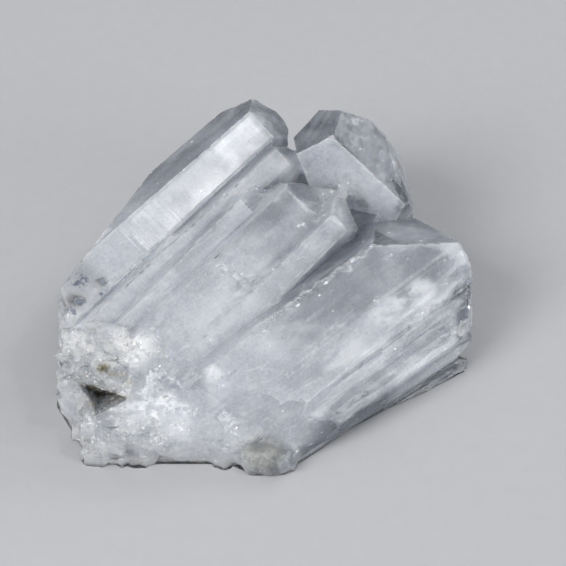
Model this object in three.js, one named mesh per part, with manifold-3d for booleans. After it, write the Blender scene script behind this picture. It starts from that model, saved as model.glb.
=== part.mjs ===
// Faden quartz cluster: a fan of six-sided quartz crystals grown together on one broken root.
// Millimetres, +Z up, origin under the middle of the cluster on the face it rests on.
// The root is at the left and front, and the crystal tips point to the right and back.
import * as THREE from 'three';
import { ConvexGeometry } from 'three/addons/geometries/ConvexGeometry.js';
import { mergeVertices } from 'three/addons/utils/BufferGeometryUtils.js';
import Module from 'manifold-3d';

const wasm = await Module();
wasm.setup();

const v = (x, y, z) => new THREE.Vector3(x, y, z);

// ---- Driving dimensions ----
const RHOMB_TO_AXIS = THREE.MathUtils.degToRad(38.2); // between the c-axis and a tip face of quartz
const SIXTH_TURN = Math.PI / 3;
const TAPER = THREE.MathUtils.degToRad(0.8); // each crystal narrows a little towards its tip
const STOCK_WIDTH = 60; // block that each crystal is cut from
const RAMP_LENGTH = 9; // a ramp starts this far behind the apex
const MERGE_DISTANCE = 1e-4;

// Every crystal: apex where the tip faces meet, c-axis, the way prism face 0 looks, length, the
// distance of each of the six prism faces from the axis, and how far each tip face is set back.
// A `ramp` lowers prism face 0 towards the tip by this much for each millimetre.
const ROOT_RAMP = 0.13;
const ALL_SIX = (distance) => [distance, distance, distance, distance, distance, distance];
const CRYSTALS = {
  upperLeft: {
    apex: v(-0.7, 27.9, 20.2), axis: v(0.674, 0.716, 0.185), front: v(0.27, -0.47, 0.84),
    length: 62, flats: [4.76, 4.9, 4.76, 4.76, 5.6, 4.76], setBack: [-0.4, -3, -1.4, -1, -0.4, -3],
  },
  upperMiddle: {
    apex: v(3.7, 21.1, 17.9), axis: v(0.67, 0.715, 0.2), front: v(0.25, -0.47, 0.85),
    length: 60, flats: [3.85, 1.6, 4.6, 4, 5, 5.07], setBack: [0, -3, 1.2, -1, 0, -2],
  },
  middleStep: {
    apex: v(-1.9, 12.5, 18.2), axis: v(0.642, 0.726, 0.247), front: v(0.2, -0.47, 0.86),
    length: 46, flats: [3.2, 3, 4.6, 4, 5, 3.6], setBack: [0, -1, 1.2, -1, 0, -1],
  },
  centreStep: {
    apex: v(5.7, 14, 17.4), axis: v(0.666, 0.709, 0.233), front: v(0.2, -0.47, 0.86),
    length: 54, flats: [4.5, 5.2, 5.2, 5, 5.2, 5.2], setBack: [0, -3, 1.2, -1, 0, -2],
  },
  centre: {
    apex: v(9.9, 12.6, 16.7), axis: v(0.672, 0.705, 0.229), front: v(0.2, -0.47, 0.86),
    length: 56, flats: [4.67, 5.2, 7, 7, 6, 2.5], setBack: [0, -3, 1.2, -1, 0, -2],
  },
  web: {
    apex: v(7.2, 16.8, 13.8), axis: v(0.672, 0.705, 0.229), front: v(0.2, -0.47, 0.86),
    length: 58, flats: [6, 9, 9, 6, 9, 9], setBack: [0, 0, 1, 0, 1, 0],
  },
  right: {
    apex: v(31, 14.9, 13.8), axis: v(0.765, 0.623, 0.164), front: v(0.226, -0.498, 0.837),
    length: 66, flats: [6, 8.9, 13, 6, 9.8, 7.5], setBack: [0, -8, -8, 0, 1.5, -8],
    cuts: [
      { normal: v(0.1, 0.25, 0.96), point: v(12.6, 1.6, 18) },
      { normal: v(-0.12, 0.75, 0.65), point: v(11.8, 8, 16.4) },
      { normal: v(0.33, -0.575, 0.75), point: v(18.6, -3.8, 13.2) },
      { normal: v(0.5, 0.65, 0.57), point: v(22.6, 7.3, 15.5) },
      { normal: v(0.9, 0.31, 0.31), point: v(26.7, 2.5, 14.7) },
      { normal: v(1, 0.05, 0.05), point: v(27.4, -0.8, 12.6) },
      { normal: v(0.45, -0.66, 0.6), point: v(19.7, -5.4, 11) },
    ],
  },
  rightSide: {
    apex: v(31, 2.2, 7.7), axis: v(0.79, 0.6, 0.12), front: v(0.374, -0.629, 0.68),
    length: 50, flats: [2.5, 3.5, 4, 4, 4, 4.4], setBack: [-1, 0, 0, 0, 0, -1],
    cuts: [
      { normal: v(1, 0.05, 0.05), point: v(27.1, -3, 6) },
      { normal: v(0.92, -0.35, 0.1), point: v(27.2, -4.4, 7) },
    ],
  },
  lowRight: {
    apex: v(27, -1.9, 0.5), axis: v(0.825, 0.562, 0.058), front: v(0.24, -0.44, 0.87),
    length: 34, flats: [2.2, 2.6, 6, 3, 6, 5.5], setBack: [0, 0, 3, 0, 1.5, 0],
  },
  blade: {
    apex: v(27.6, -4, 0.9), axis: v(0.84, 0.54, 0.07), front: v(0.35, -0.62, 0.7),
    length: 15, flats: [0.7, 1.3, 1.5, 1.4, 2, 1.6], setBack: [0, 0, 1, 0, 1, 0],
  },
  upright: {
    apex: v(7.25, 14.9, 26.6), axis: v(-0.165, -0.6, 0.78), front: v(-0.22, -0.75, -0.63),
    length: 24, flats: [12, 12.8, 7, 4.8, 6.2, 6.3], setBack: [0, -9, 0, -9, -0.8, -9],
    cuts: [
      { normal: v(0.68, 0.52, 0.52), point: v(11.4, 18.5, 29.2) },
      { normal: v(0.93, 0.1, 0.1), point: v(19.4, 13, 14) },
    ],
  },
  rootLeft: {
    apex: v(-19.3, 8, 16.45), axis: v(0.541, 0.78, 0.313), front: v(0.24, -0.5, 0.83),
    length: 40, flats: [4, 5.6, 5, 4, 5, 5.6], setBack: [0, -1, 2, 0, 2, -1], ramp: ROOT_RAMP,
  },
  rootMiddle: {
    apex: v(-10.7, 8, 15.1), axis: v(0.555, 0.774, 0.306), front: v(0.22, -0.49, 0.84),
    length: 40, flats: [4, 5.2, 5, 4, 5, 5.2], setBack: [0, -1, 2, 0, 2, -1], ramp: ROOT_RAMP,
  },
  rootCentre: {
    apex: v(-5.9, 1.9, 14.9), axis: v(0.566, 0.772, 0.29), front: v(0.2, -0.47, 0.86),
    length: 40, flats: [4, 4.5, 5, 4, 5, 4.5], setBack: [0, -1, 2, 0, 2, -1], ramp: ROOT_RAMP,
  },
  rootRight: {
    apex: v(-2, -0.4, 13.6), axis: v(0.608, 0.741, 0.285), front: v(0.22, -0.5, 0.84),
    length: 36, flats: [3.5, 2.7, 4, 4, 4, 2.7], setBack: [0, -1, 2, 0, 2, -1], ramp: ROOT_RAMP,
  },
  underLeft: {
    apex: v(-9, 24, 12), axis: v(0.62, 0.77, 0.06), front: v(0, -0.1, 1),
    length: 52, flats: [5, 5, 5.5, 5, 5, 5.5], setBack: [0, 0.8, 0, 1, 0, 0.5],
  },
  behind: {
    apex: v(4, 28, 11), axis: v(0.3, 0.93, 0.1), front: v(0.1, 0, 1),
    length: 30, flats: [5, 6, 5.5, 5, 6, 6.5], setBack: [0, 1, 0, 0.6, 0, 0.5],
  },
  behindRight: {
    apex: v(14.5, 22.5, 10.5), axis: v(0.42, 0.88, 0.2), front: v(0, -0.2, 1),
    length: 28, flats: [4.5, 5, 5.2, 4.5, 4.2, 5], setBack: [0, 1, 0, 0.6, 0, 0.5],
  },
  underCentre: {
    apex: v(14, 15, 6.5), axis: v(0.64, 0.77, 0.02), front: v(0, 0, 1),
    length: 52, flats: [6, 7, 7.5, 6, 7, 7.5], setBack: [0, 0.8, 0, 1, 0, 0.5],
  },
  underRight: {
    apex: v(24, 6, 4.5), axis: v(0.75, 0.66, 0.03), front: v(0, 0.2, 1),
    length: 40, flats: [4.5, 5, 5.5, 4.5, 5, 5.5], setBack: [0, 0.8, 0, 1, 0, 0.5],
  },
};

// Small tips that stand in a ragged row along the end of the centre crystals.
const RAGGED_ROW = { from: v(-3, 11, 18.4), to: v(9.8, 15.5, 16.8), count: 9, radius: 1.35 };
const RAGGED_AXIS = v(0.672, 0.705, 0.229);
const RAGGED_FRONT = v(0.2, -0.47, 0.86);

// Thin ribs along the lower side of the right-hand crystal.
const RIBS = [
  { apex: v(27.5, -2.8, 6.9), axis: v(0.79, 0.6, 0.12), radius: 1.4, length: 44 },
  { apex: v(27.5, -3.3, 4.7), axis: v(0.805, 0.58, 0.09), radius: 1.8, length: 44 },
  { apex: v(26.4, -4.4, 3.2), axis: v(0.82, 0.565, 0.1), radius: 1.2, length: 44 },
];
const RIB_FRONT = v(0.5, -0.7, 0.5);

// Broken limits of the root: everything beyond each plane is gone.
const BREAKS = [
  { normal: v(-0.82, 0.4, 0.4), point: v(-27.5, 0.2, 18) },
  { normal: v(-1, 0, 0.05), point: v(-31.6, -5, 14) },
  { normal: v(-0.85, -0.45, 0.25), point: v(-30.4, -13.3, 6) },
  { normal: v(0, -0.93, 0.36), point: v(-14, -23.7, 0) },
  { normal: v(-0.25, -0.72, 0.65), point: v(-14, -20.7, 7.6) },
  { normal: v(0.3, 0.93, -0.2), point: v(8, 30, 10) },
];

// The step broken out of the root above the cavity.
const STEP = {
  slope: { normal: v(-0.3, -0.83, 0.5), point: v(-24, -15, 11.5) },
  floor: 7,
  right: { normal: v(0.9, 0.3, 0), point: v(-18.3, -16, 11) },
};
const CAVITY = [
  v(-28.6, -16.7, 9), v(-21.6, -19, 8.4), v(-25.7, -22.2, 8), v(-26.2, -13, 2.6), v(-22.8, -14.4, 4.2),
];

// Solid lumps of the root: centre, half sizes, seed, facets.
const LUMPS = [
  { at: v(-17, -12, 4), half: v(14.5, 12, 8), seed: 3, facets: 24 },
  { at: v(-29.2, -14.2, 4.6), half: v(2.9, 4, 5.2), seed: 11, facets: 20 },
  { at: v(-3.1, -24, 1.2), half: v(3.6, 2.4, 2.5), seed: 17, facets: 18 },
  { at: v(0.3, -24.2, 1.4), half: v(1.9, 1.9, 2.4), seed: 18, facets: 18 },
];

// Hackly fracture along the outline of the root, as [x, y, height of the broken face].
const ROOT_OUTLINE = [
  [-31, -5.5, 15], [-30.6, -9.5, 12], [-30.6, -14, 8], [-28.7, -17.6, 6], [-27.1, -21.6, 5.3],
  [-25.4, -24.4, 6], [-20, -24.1, 6.5], [-15.5, -23.3, 7.5], [-10, -23.9, 7.5], [-5, -24.2, 6],
];
const SHARD_TILT = 0.25; // the small shards are turned by up to twice this, in steps
const HACKLE_COUNT = 96;
const HACKLE_SIZE = [1, 2];
const HACKLE_SUNK = [0.3, 0.85]; // share of its size that the middle of a hackle lies behind the wall
const WALL_LEAN = 0.3; // the broken wall leans back this much for each millimetre of height
const LEDGE_COUNT = 20; // flat broken lumps on the ledge in front of the cavity
const GRAIN_COUNT = 34; // small angular grains on the broken step
const GRAIN_SIZE = [0.8, 1.6];
const GRAIN_SUNK = 0.78; // share of its size that the middle of a grain lies under the slope

// Chips knocked out of the right-hand edge and the ridges: place and radius.
const CHIPS = [
  [v(28, -1.6, 12.2), 1.4], [v(28.1, -2.2, 9.2), 1.1], [v(28.1, -3.9, 7), 1.2],
  [v(27.9, -5.5, 4.6), 1.2], [v(26.4, 5.4, 15.6), 1], [v(22.6, 7.4, 16.7), 0.9],
  [v(-0.9, 29.3, 21), 1.2], [v(16.6, 22.4, 24), 1.5], [v(13, 25.6, 22), 1.4],
];
const RIDGE = { from: v(12.2, 1.5, 18.2), to: v(-2.9, -10.8, 15), count: 13, radius: 0.6 };

// Dark little pits on the faces near the root: place and radius.
const PITS = [
  [v(-30.3, -7.1, 14.4), 1], [v(-28.9, -6.6, 14.9), 0.8], [v(-29.4, -2.6, 16.1), 0.5],
  [v(-28.4, -3.1, 16.1), 0.5], [v(-25.6, -3.7, 15.9), 0.6], [v(-24.9, -15.6, 11.1), 0.9],
  [v(-22.8, -16.2, 10.4), 0.9], [v(-20.1, -16.8, 9.9), 0.7],
];

// ---- Repeatable random numbers ----
function makeRandom(seed) {
  let state = seed >>> 0;
  return () => {
    state = (state + 0x6d2b79f5) >>> 0;
    let t = Math.imul(state ^ (state >>> 15), 1 | state);
    t = (t + Math.imul(t ^ (t >>> 7), 61 | t)) ^ t;
    return ((t ^ (t >>> 14)) >>> 0) / 4294967296;
  };
}
const between = (random, low, high) => low + (high - low) * random();

// ---- Geometry to solid and back ----
function solidOf(geometry) {
  const bare = geometry.clone();
  bare.deleteAttribute('normal');
  bare.deleteAttribute('uv');
  const merged = mergeVertices(bare, MERGE_DISTANCE);
  return new wasm.Manifold(
    new wasm.Mesh({
      numProp: 3,
      vertProperties: new Float32Array(merged.attributes.position.array),
      triVerts: new Uint32Array(merged.index.array),
    }),
  );
}

function geometryOf(solid) {
  const { numProp, numVert, vertProperties, triVerts } = solid.getMesh();
  const position = new Float32Array(numVert * 3);
  for (let i = 0; i < numVert; i++) {
    position.set(vertProperties.subarray(i * numProp, i * numProp + 3), i * 3);
  }
  const geometry = new THREE.BufferGeometry();
  geometry.setAttribute('position', new THREE.BufferAttribute(position, 3));
  geometry.setIndex(new THREE.BufferAttribute(new Uint32Array(triVerts), 1));
  return geometry;
}

// Keeps what lies behind a plane through `point` that faces along `normal`.
function cutFace(solid, normal, point) {
  const n = normal.clone().normalize();
  return solid.trimByPlane([-n.x, -n.y, -n.z], -n.dot(point));
}

// ---- One crystal: six prism faces about the c-axis, closed by six tip faces ----
function crystal({ apex, axis, front, length, flats, setBack, cuts = [], ramp = 0 }) {
  const c = axis.clone().normalize();
  const face0 = front.clone().addScaledVector(c, -front.dot(c)).normalize();
  const middle = apex.clone().addScaledVector(c, -length / 2);
  const stock = new THREE.BoxGeometry(STOCK_WIDTH, STOCK_WIDTH, length)
    .applyQuaternion(new THREE.Quaternion().setFromUnitVectors(v(0, 0, 1), c))
    .translate(middle.x, middle.y, middle.z);
  let solid = solidOf(stock);
  for (let k = 0; k < 6; k++) {
    const side = face0.clone().applyAxisAngle(c, k * SIXTH_TURN);
    const prism = side.clone().multiplyScalar(Math.cos(TAPER)).addScaledVector(c, Math.sin(TAPER));
    const prismPoint = apex.clone().addScaledVector(c, -length * 0.3).addScaledVector(side, flats[k]);
    const tip = side
      .clone()
      .multiplyScalar(Math.cos(RHOMB_TO_AXIS))
      .addScaledVector(c, Math.sin(RHOMB_TO_AXIS));
    solid = cutFace(solid, prism, prismPoint);
    solid = cutFace(solid, tip, apex.clone().addScaledVector(c, -setBack[k]));
  }
  for (const { normal, point } of cuts) {
    solid = cutFace(solid, normal, point);
  }
  if (ramp) {
    const start = apex.clone().addScaledVector(face0, flats[0]).addScaledVector(c, -RAMP_LENGTH);
    solid = cutFace(solid, face0.clone().addScaledVector(c, ramp), start);
  }
  return solid;
}

// ---- An angular lump: random flat facets that touch an ellipsoid ----
function shard({ at, half, seed, facets, tilt = 0 }) {
  const random = makeRandom(seed);
  const stock = new THREE.BoxGeometry(half.x * 2, half.y * 2, half.z * 2).rotateX(tilt).rotateZ(tilt);
  let solid = solidOf(stock.translate(at.x, at.y, at.z));
  for (let i = 0; i < facets; i++) {
    const height = between(random, -1, 1);
    const turn = between(random, 0, 2 * Math.PI);
    const ring = Math.sqrt(1 - height * height);
    const out = v(ring * Math.cos(turn), ring * Math.sin(turn), height);
    const touch = out.clone().multiply(half).multiplyScalar(between(random, 0.78, 1));
    solid = cutFace(solid, out.clone().divide(half), touch.add(at));
  }
  return solid;
}

// ---- Rows of small features ----
function raggedTips() {
  const random = makeRandom(41);
  const tips = [];
  for (let i = 0; i < RAGGED_ROW.count; i++) {
    const along = (i + between(random, -0.2, 0.2)) / (RAGGED_ROW.count - 1);
    const apex = RAGGED_ROW.from.clone().lerp(RAGGED_ROW.to, along);
    apex.addScaledVector(RAGGED_AXIS, between(random, -1.6, 0.9));
    const radius = RAGGED_ROW.radius * between(random, 0.75, 1.3);
    const flats = [0, 1, 2, 3, 4, 5].map(() => radius * between(random, 0.7, 1.2));
    const setBack = [0, 0.4, 0.8, 0, 0.6, 0];
    tips.push(crystal({ apex, axis: RAGGED_AXIS, front: RAGGED_FRONT, length: 9, flats, setBack }));
  }
  return tips;
}

function ribs() {
  return RIBS.map(({ apex, axis, radius, length }) => {
    const flats = ALL_SIX(radius);
    const setBack = [0, 0.3, 0.9, 0, 0.6, 0];
    return crystal({ apex, axis, front: RIB_FRONT, length, flats, setBack });
  });
}

function hackles() {
  const random = makeRandom(77);
  const lumps = [];
  for (let i = 0; i < HACKLE_COUNT; i++) {
    const place = ((i + 0.5) / HACKLE_COUNT) * (ROOT_OUTLINE.length - 1);
    const leg = Math.floor(place);
    const from = v(...ROOT_OUTLINE[leg]);
    const to = v(...ROOT_OUTLINE[leg + 1]);
    const inward = v(from.y - to.y, to.x - from.x, 0).normalize();
    const at = from.lerp(to, place - leg);
    at.z *= between(random, 0.03, 1);
    const size = between(random, ...HACKLE_SIZE);
    at.addScaledVector(inward, at.z * WALL_LEAN + size * between(random, ...HACKLE_SUNK));
    const half = v(size * between(random, 1, 1.7), size * between(random, 0.8, 1.1), size);
    const tilt = SHARD_TILT * ((i % 5) - 2);
    lumps.push(shard({ at, half, seed: 500 + i, facets: 15, tilt }));
  }
  return lumps;
}

function grains() {
  const random = makeRandom(91);
  const { normal, point } = STEP.slope;
  const across = v(0, 0, 1).cross(normal).normalize();
  const down = normal.clone().normalize().cross(across);
  const lumps = [];
  for (let i = 0; i < GRAIN_COUNT; i++) {
    const at = point.clone();
    at.addScaledVector(across, between(random, -7, 5));
    at.addScaledVector(down, between(random, -3, 4.4));
    const size = between(random, ...GRAIN_SIZE);
    at.addScaledVector(normal, -GRAIN_SUNK * size);
    const tilt = SHARD_TILT * ((i % 5) - 2);
    lumps.push(shard({ at, half: v(size * 1.3, size, size), seed: 700 + i, facets: 12, tilt }));
  }
  return lumps;
}

function ledge() {
  const random = makeRandom(57);
  const lumps = [];
  for (let i = 0; i < LEDGE_COUNT; i++) {
    const at = v(between(random, -28.5, -17.5), between(random, -21.6, -17.8), STEP.floor - 0.9);
    const half = v(between(random, 1.4, 2.8), between(random, 1.1, 2.2), between(random, 0.9, 1.5));
    const tilt = SHARD_TILT * ((i % 5) - 2);
    lumps.push(shard({ at, half, seed: 800 + i, facets: 13, tilt }));
  }
  return lumps;
}

function brokenStep() {
  const { slope, floor, right } = STEP;
  let gone = solidOf(new THREE.BoxGeometry(30, 30, 30).translate(-30, -20, 15));
  gone = cutFace(gone, slope.normal.clone().negate(), slope.point);
  gone = cutFace(gone, v(0, 0, -1), v(0, 0, floor));
  return cutFace(gone, right.normal, right.point);
}

function chips() {
  const random = makeRandom(23);
  const cuts = CHIPS.map(([at, radius], i) =>
    shard({ at, half: v(radius, radius, radius * 1.2), seed: 300 + i, facets: 12 }),
  );
  for (let i = 0; i < RIDGE.count; i++) {
    const along = (i + between(random, -0.35, 0.35)) / (RIDGE.count - 1);
    const at = RIDGE.from.clone().lerp(RIDGE.to, along);
    const radius = RIDGE.radius * between(random, 0.6, 1.3);
    cuts.push(shard({ at, half: v(radius * 1.5, radius, radius), seed: 350 + i, facets: 9 }));
  }
  const pits = PITS.map(([at, radius], i) =>
    shard({ at, half: v(radius * 1.4, radius, radius * 0.9), seed: 400 + i, facets: 10 }),
  );
  return [...cuts, ...pits];
}

// ---- The whole cluster ----
function cluster() {
  let solid = wasm.Manifold.union([...Object.values(CRYSTALS).map(crystal), ...ribs()]);
  for (const { normal, point } of BREAKS) {
    solid = cutFace(solid, normal, point);
  }
  solid = solid.subtract(brokenStep());
  solid = wasm.Manifold.union([solid, ...LUMPS.map(shard), ...raggedTips()]);
  solid = wasm.Manifold.union([solid, ...hackles(), ...grains(), ...ledge()]);
  solid = solid.subtract(wasm.Manifold.union(chips()));
  solid = solid.subtract(solidOf(new ConvexGeometry(CAVITY)));
  solid = solid.trimByPlane([0, 0, 1], 0);
  const [largest] = solid.decompose().sort((a, b) => b.volume() - a.volume());
  return largest;
}

const quartz = new THREE.MeshStandardMaterial({
  name: 'milky_quartz', color: 0xdfe3ea, roughness: 0.25, metalness: 0,
});

const whole = new THREE.Group();
const mesh = new THREE.Mesh(geometryOf(cluster()), quartz);
mesh.name = 'quartz_cluster';
mesh.geometry.computeBoundingBox();
const middle = mesh.geometry.boundingBox.getCenter(v(0, 0, 0));
mesh.geometry.translate(-middle.x, -middle.y, 0);
whole.add(mesh);

export default whole;
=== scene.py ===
"""Faden quartz cluster, dressed: a fan of milky crystals on a broken white root. Metres, +Z up."""

import math

import bmesh
import bpy
import numpy as np
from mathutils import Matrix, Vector, noise
from mathutils.bvhtree import BVHTree
from mathutils.kdtree import KDTree


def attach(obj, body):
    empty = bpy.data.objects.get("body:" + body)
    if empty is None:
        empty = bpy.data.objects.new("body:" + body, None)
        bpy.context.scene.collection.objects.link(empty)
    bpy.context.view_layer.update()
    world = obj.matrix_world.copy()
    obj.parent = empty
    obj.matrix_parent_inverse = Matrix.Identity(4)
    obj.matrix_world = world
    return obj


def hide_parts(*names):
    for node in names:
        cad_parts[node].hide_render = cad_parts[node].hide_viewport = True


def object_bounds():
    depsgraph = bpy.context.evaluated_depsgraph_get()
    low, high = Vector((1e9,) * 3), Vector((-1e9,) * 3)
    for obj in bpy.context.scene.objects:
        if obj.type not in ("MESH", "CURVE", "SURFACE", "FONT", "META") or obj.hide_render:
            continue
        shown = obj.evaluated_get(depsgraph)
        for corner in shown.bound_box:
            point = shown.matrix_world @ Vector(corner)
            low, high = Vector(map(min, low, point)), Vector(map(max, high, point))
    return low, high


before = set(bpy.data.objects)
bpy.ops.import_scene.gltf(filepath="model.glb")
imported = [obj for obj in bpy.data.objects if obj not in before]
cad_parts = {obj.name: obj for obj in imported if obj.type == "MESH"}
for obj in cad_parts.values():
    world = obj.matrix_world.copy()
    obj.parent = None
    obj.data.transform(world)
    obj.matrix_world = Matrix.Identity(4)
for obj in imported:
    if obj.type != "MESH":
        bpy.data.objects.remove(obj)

MM = 0.001
cad_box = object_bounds()

# ---- Sizes of the detail, in millimetres ----
FACE_STEP = 1.3  # longest triangle edge in the middle of a crystal face
EDGE_STEP = 0.43  # along the edges of the crystals
STEP_GROWTH = 0.8  # and how much longer for each millimetre away from them
ROUGH_STEP = 0.4  # on the broken root
FLOOR_STEP = 2.5  # on the flat underside
EDGE_WEAR_REACH = 0.5  # how far from an edge the wear goes
FLOOR_REACH = 0.8  # below this height the surface is held to the floor
CHIPS_PER_MM2 = 1.8
CHIP_RADII = (0.12, 0.4)
CHIP_SHAPE = (1.0, 0.75, 0.55)  # its three half widths, as shares of its radius
CHIP_SUNK = 0.35  # how much of its radius a chip is sunk
CHIP_SEED = 7
FACE_SEED = 12
SHARP_TURN = math.radians(14)  # faces that meet at more than this have an edge between them
UNDER_LEAN = -0.1  # a face whose normal points down more than this is under the quartz
FLAT_TURN = 0.02  # triangles that meet at less than this, in radians, are one flat face
SHADED_TURN = math.radians(20)  # past this an edge of the fine surface is shaded sharp
MIRROR_TURN = math.radians(9)  # faces within this of the polished one shine like it
WHOLE_FACE = 9.0  # a flat face at least this many square millimetres belongs to a whole crystal
FAN_MIDDLE = np.array([-155.0, -140.0, -26.0])  # where the lines of the fan would meet
MIRROR_FACE = (-12.0, 9.0, 21.0)  # a point on the one face that is polished like glass
MIRROR_END = np.array([-18.8, -0.6, 18.0])  # where its polish stops on the way to the root
UPPER_LEFT_AXIS = np.array([0.674, 0.716, 0.185])

# How deep the surface is cut, in millimetres.
SWAY_DEPTHS = (0.015, 0.012)  # all over: the middle and the swing
WEAR_DEPTH = 0.04  # along worn edges
BITE_DEPTH = 0.16  # small chips in those edges
GLINT_BITE_DEPTH = 0.2  # and more of them where they glint
ROUGH_DEPTHS = (0.22, 0.12, 0.26, 0.1)  # broken parts: the middle, wander, large and small facets
LOBE_DEPTH, LOBE_SIZE = 0.8, 2.1
RIM_DEPTHS = (0.4, 0.5)  # where broken parts meet the floor: the middle and the swing
DEEPEST = 0.9  # nothing is cut deeper than this

# How often the points are drawn together, and how far towards each other in one turn.
PULL, RIDGE_PULL = 0.5, 0.4
ROUGH_TURNS, ROUND_TURNS, MELTED_TURNS, LINE_TURNS, RIDGE_TURNS = 2, 16, 90, 220, 5

# The corners of the earthy hollow in the root.
CAVITY = [
    (-26.4, -19.0, 9.0), (-19.4, -21.3, 8.4), (-23.5, -24.5, 8.0), (-24.0, -15.3, 2.6), (-20.6, -16.7, 4.2),
]

# How clear single crystal faces are, from 0 milky to 1 clear, each by a point on it.
FACE_TONES = [
    ((-11.3, 15.6, 21.2), 0.8),
    ((-9.0, 12.6, 22.0), 0.2),
    ((-0.3, 20.9, 22.5), 0.5),
    ((-0.3, 12.1, 20.5), 0.15),
    ((4.8, 15.4, 18.5), 0.25),
    ((-2.4, 2.6, 19.5), 0.2),
    ((-9.4, -3.1, 17.1), 0.1),
    ((-12.1, -8.5, 16.5), 0.15),
    ((0.5, -1.3, 17.3), 0.3),
    ((4.7, 4.0, 19.1), 0.45),
    ((6.5, 7.6, 18.7), 0.45),
    ((9.1, 8.3, 18.1), 0.3),
    ((11.2, 6.7, 17.6), 0.3),
    ((-7.8, -13.7, 14.0), 0.15),
    ((7.7, 15.6, 25.1), 0.85),
    ((11.2, 12.0, 22.6), 0.05),
    ((15.7, 14.8, 22.0), 0.1),
    ((20.1, 11.7, 16.9), 0.8),
    ((16.9, 2.1, 17.0), 0.8),
    ((13.4, 3.4, 16.0), 0.6),
    ((8.9, -4.2, 16.4), 0.5),
    ((4.7, -9.6, 15.6), 0.8),
    ((18.8, -4.7, 14.9), 0.8),
    ((-2.2, -17.1, 13.4), 0.25),
    ((4.7, -18.3, 10.7), 0.3),
    ((21.7, -9.3, 9.3), 0.15),
    ((24.7, -6.0, 9.9), 0.15),
    ((23.2, -10.5, 7.5), 0.2),
    ((26.1, -9.2, 7.2), 0.3),
    ((15.9, -16.2, 6.4), 0.35),
    ((11.7, -21.4, 3.8), 0.6),
    ((27.0, -9.3, 3.1), 0.9),
    ((24.9, -10.4, 1.1), 1.0),
    ((4.7, -25.7, 1.3), 0.8),
    ((4.6, -21.8, 8.4), 0.3),
]

# Soft-edged spots: place, reach along X, Y and Z, and how strong.
CLEAR_SPOTS = [
    ((3.5, 18.5, 20.0), (4.0, 5.0, 4.0), 0.2),
    ((14.5, 4.5, 16.0), (2.6, 3.0, 3.0), 0.5),
    ((13.9, 12.0, 14.4), (1.4, 1.4, 1.4), 1.0),
    ((26.0, -9.0, 1.5), (7.0, 4.0, 2.0), 1.0),
    ((10.0, -20.0, 3.0), (9.0, 4.0, 2.5), 0.6),
    ((-26.9, -7.0, 16.6), (3.5, 4.0, 2.5), 0.35),
    ((0.3, -27.5, 2.6), (3.5, 2.5, 3.0), 0.6),
]
# Lines of white haze inside the crystals: from, to, reach and how strong.
HAZE_LINES = [
    ((16.0, -9.5, 12.5), (22.0, -5.0, 13.0), 1.7, 1.0),
    ((9.0, -16.5, 10.5), (13.0, -13.5, 10.8), 1.4, 0.8),
    ((19.0, -9.5, 10.0), (27.0, -3.0, 11.5), 1.0, 0.7),
    ((-26.0, -11.5, 15.0), (-22.5, -7.5, 16.0), 1.4, 0.8),
    ((-6.0, -9.0, 16.5), (-1.0, -4.0, 17.5), 2.0, 0.5),
    ((-10.0, -14.0, 14.0), (-4.0, -9.0, 15.5), 2.6, 0.5),
    ((0.0, -16.0, 13.0), (6.0, -11.0, 14.0), 2.2, 0.4),
    ((12.0, 13.0, 20.0), (14.5, 10.0, 15.5), 1.6, 0.5),
]
# Painted light and shade, partly also the quartz's own darker and lighter parts: faces turned from the lamps
# lifted, the strip along the floor darkened. From, to, reach and how much, dark below 0.
LIGHT_AND_SHADE_LINES = [
    ((4.0, -12.0, 15.0), (14.0, -1.0, 17.0), 5.0, -0.5),
    ((10.0, -8.0, 14.5), (24.0, -1.0, 14.0), 4.5, -0.4),
    ((28.8, -7.5, 6.5), (29.0, -2.0, 9.0), 2.2, -1.0),
    ((3.0, -26.5, 1.0), (27.0, -11.0, 0.8), 1.8, -1.0),
    ((-1.5, -27.5, 1.8), (1.5, -27.5, 2.0), 2.8, -1.0),
    ((9.0, -19.5, 5.0), (16.0, -16.0, 5.5), 2.4, -0.5),
    ((3.5, -19.0, 10.5), (6.0, -18.0, 11.0), 2.2, -0.3),
    ((-23.0, -24.0, 6.0), (-26.0, -24.0, 6.0), 2.0, -0.9),
    ((-12.5, -4.0, 18.0), (-7.0, 3.0, 19.5), 1.6, -0.4),
    ((-15.5, -20.5, 10.5), (-10.0, -20.5, 11.5), 1.8, -0.35),
    ((20.3, 12.5, 18.5), (20.3, 11.0, 15.0), 2.0, -1.0),
    ((13.0, 16.5, 24.0), (18.5, 13.0, 18.0), 4.5, 0.48),
    ((18.0, 3.5, 17.0), (27.0, 1.5, 15.5), 3.0, 0.42),
    ((2.5, 14.0, 19.0), (5.5, 16.5, 18.3), 2.2, 0.6),
    ((-1.0, -4.0, 17.0), (5.0, 2.0, 18.0), 3.5, -0.2),
    ((6.0, -3.0, 17.0), (12.0, 5.0, 17.5), 2.0, -0.2),
    ((-6.0, -21.5, 10.0), (-3.0, -22.5, 9.0), 2.4, 0.4),
    ((-19.0, -24.5, 6.5), (-12.0, -24.5, 7.0), 2.4, 0.6),
    ((-24.0, -16.5, 12.2), (-20.0, -17.2, 13.0), 1.8, 0.6),
]
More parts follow.
